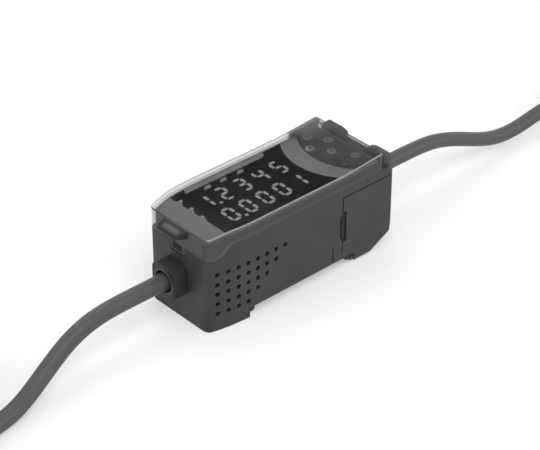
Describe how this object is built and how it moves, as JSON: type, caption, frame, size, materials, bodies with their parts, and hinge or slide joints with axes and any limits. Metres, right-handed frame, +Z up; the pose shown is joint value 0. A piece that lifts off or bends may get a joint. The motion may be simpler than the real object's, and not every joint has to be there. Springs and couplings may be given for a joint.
{
  "type": "contact sensor amplifier",
  "caption": "Slim rail-mount amplifier for a contact displacement sensor, with a digital display and keys under a hinged clear cover and a cord at each end.",
  "frame": {"origin": "bottom centre of the amplifier without its cords, on the level of the feet", "axes": "+X from the output cord's end to the sensor cord's end, +Y to the left side seen from the output cord's end, +Z up, away from the rail"},
  "size_m": [0.3436, 0.0431, 0.0304],
  "materials": {
    "case_plastic": "fine-textured moulding",
    "frame_plastic": "fine-textured moulding",
    "bezel_plastic": "smooth satin",
    "smoked_window": "polished",
    "cover_plastic": "polished, lightly smoked",
    "display_module": "smooth",
    "light_guide": "frosted",
    "key_plastic": "satin",
    "slider_plastic": "satin",
    "switch_plastic": "moulded",
    "board": "solder mask",
    "connector_plastic": "moulded",
    "clip_plastic": "moulded",
    "spring_steel": "drawn wire",
    "bushing_rubber": "matt",
    "cord_jacket": "satin jacket",
    "tie_plastic": "satin",
    "lead_jacket": "satin",
    "plug_plastic": "moulded"
  },
  "bodies": {
    "case": {"case_body": "case_plastic", "top_frame": "frame_plastic", "bezel_plate": "bezel_plastic", "display_window": "smoked_window", "key_plate": "frame_plastic", "main_display": "display_module", "sub_display": "display_module", "power_light": "light_guide", "zero_light": "light_guide", "enable_light": "light_guide", "high_light": "light_guide", "pass_light": "light_guide", "low_light": "light_guide", "up_switch": "switch_plastic", "down_switch": "switch_plastic", "left_switch": "switch_plastic", "right_switch": "switch_plastic", "enter_switch": "switch_plastic", "mode_switch_body": "switch_plastic", "threshold_switch_body": "switch_plastic", "display_board": "board", "main_board": "board", "board_link": "switch_plastic", "side_connector_right": "connector_plastic", "side_connector_left": "connector_plastic", "front_bushing": "bushing_rubber", "rear_bushing": "bushing_rubber", "output_cord": "cord_jacket", "output_hank": "cord_jacket", "hank_tie": "tie_plastic", "output_leads": "lead_jacket", "sensor_cord": "cord_jacket", "sensor_connector": "plug_plastic", "connector_insert": "plug_plastic"},
    "cover": {"protective_cover": "cover_plastic"},
    "up_key": {"up_key": "key_plastic"},
    "down_key": {"down_key": "key_plastic"},
    "left_key": {"left_key": "key_plastic"},
    "right_key": {"right_key": "key_plastic"},
    "enter_key": {"enter_key": "key_plastic"},
    "mode_slider": {"mode_slider": "slider_plastic"},
    "threshold_slider": {"threshold_slider": "slider_plastic"},
    "side_cover_right": {"side_cover_right": "case_plastic"},
    "side_cover_left": {"side_cover_left": "case_plastic"},
    "rail_clip": {"rail_clip": "clip_plastic", "clip_spring": "spring_steel"}
  },
  "joints": [
    {"name": "cover_hinge", "type": "hinge", "parent": "case", "child": "cover", "pos_m": [0.03065, 0, 0.0264], "axis": [0, 1, 0], "range_deg": [0, 100]},
    {"name": "up_key_press", "type": "slide", "parent": "case", "child": "up_key", "axis": [0, 0, -1], "range_m": [0, 0.0003], "stiffness_N_per_m": 500, "springref_m": -0.001},
    {"name": "down_key_press", "type": "slide", "parent": "case", "child": "down_key", "axis": [0, 0, -1], "range_m": [0, 0.0003], "stiffness_N_per_m": 500, "springref_m": -0.001},
    {"name": "left_key_press", "type": "slide", "parent": "case", "child": "left_key", "axis": [0, 0, -1], "range_m": [0, 0.0003], "stiffness_N_per_m": 500, "springref_m": -0.001},
    {"name": "right_key_press", "type": "slide", "parent": "case", "child": "right_key", "axis": [0, 0, -1], "range_m": [0, 0.0003], "stiffness_N_per_m": 500, "springref_m": -0.001},
    {"name": "enter_key_press", "type": "slide", "parent": "case", "child": "enter_key", "axis": [0, 0, -1], "range_m": [0, 0.0003], "stiffness_N_per_m": 500, "springref_m": -0.001},
    {"name": "mode_slide", "type": "slide", "parent": "case", "child": "mode_slider", "axis": [0, 1, 0], "range_m": [0, 0.003]},
    {"name": "threshold_slide", "type": "slide", "parent": "case", "child": "threshold_slider", "axis": [0, 1, 0], "range_m": [0, 0.0015]},
    {"name": "side_cover_right_slide", "type": "slide", "parent": "case", "child": "side_cover_right", "axis": [1, 0, 0], "range_m": [0, 0.008]},
    {"name": "side_cover_left_slide", "type": "slide", "parent": "case", "child": "side_cover_left", "axis": [1, 0, 0], "range_m": [0, 0.008]},
    {"name": "rail_clip_slide", "type": "slide", "parent": "case", "child": "rail_clip", "axis": [1, 0, 0], "range_m": [0, 0.0025], "stiffness_N_per_m": 1500, "springref_m": -0.001}
  ]
}
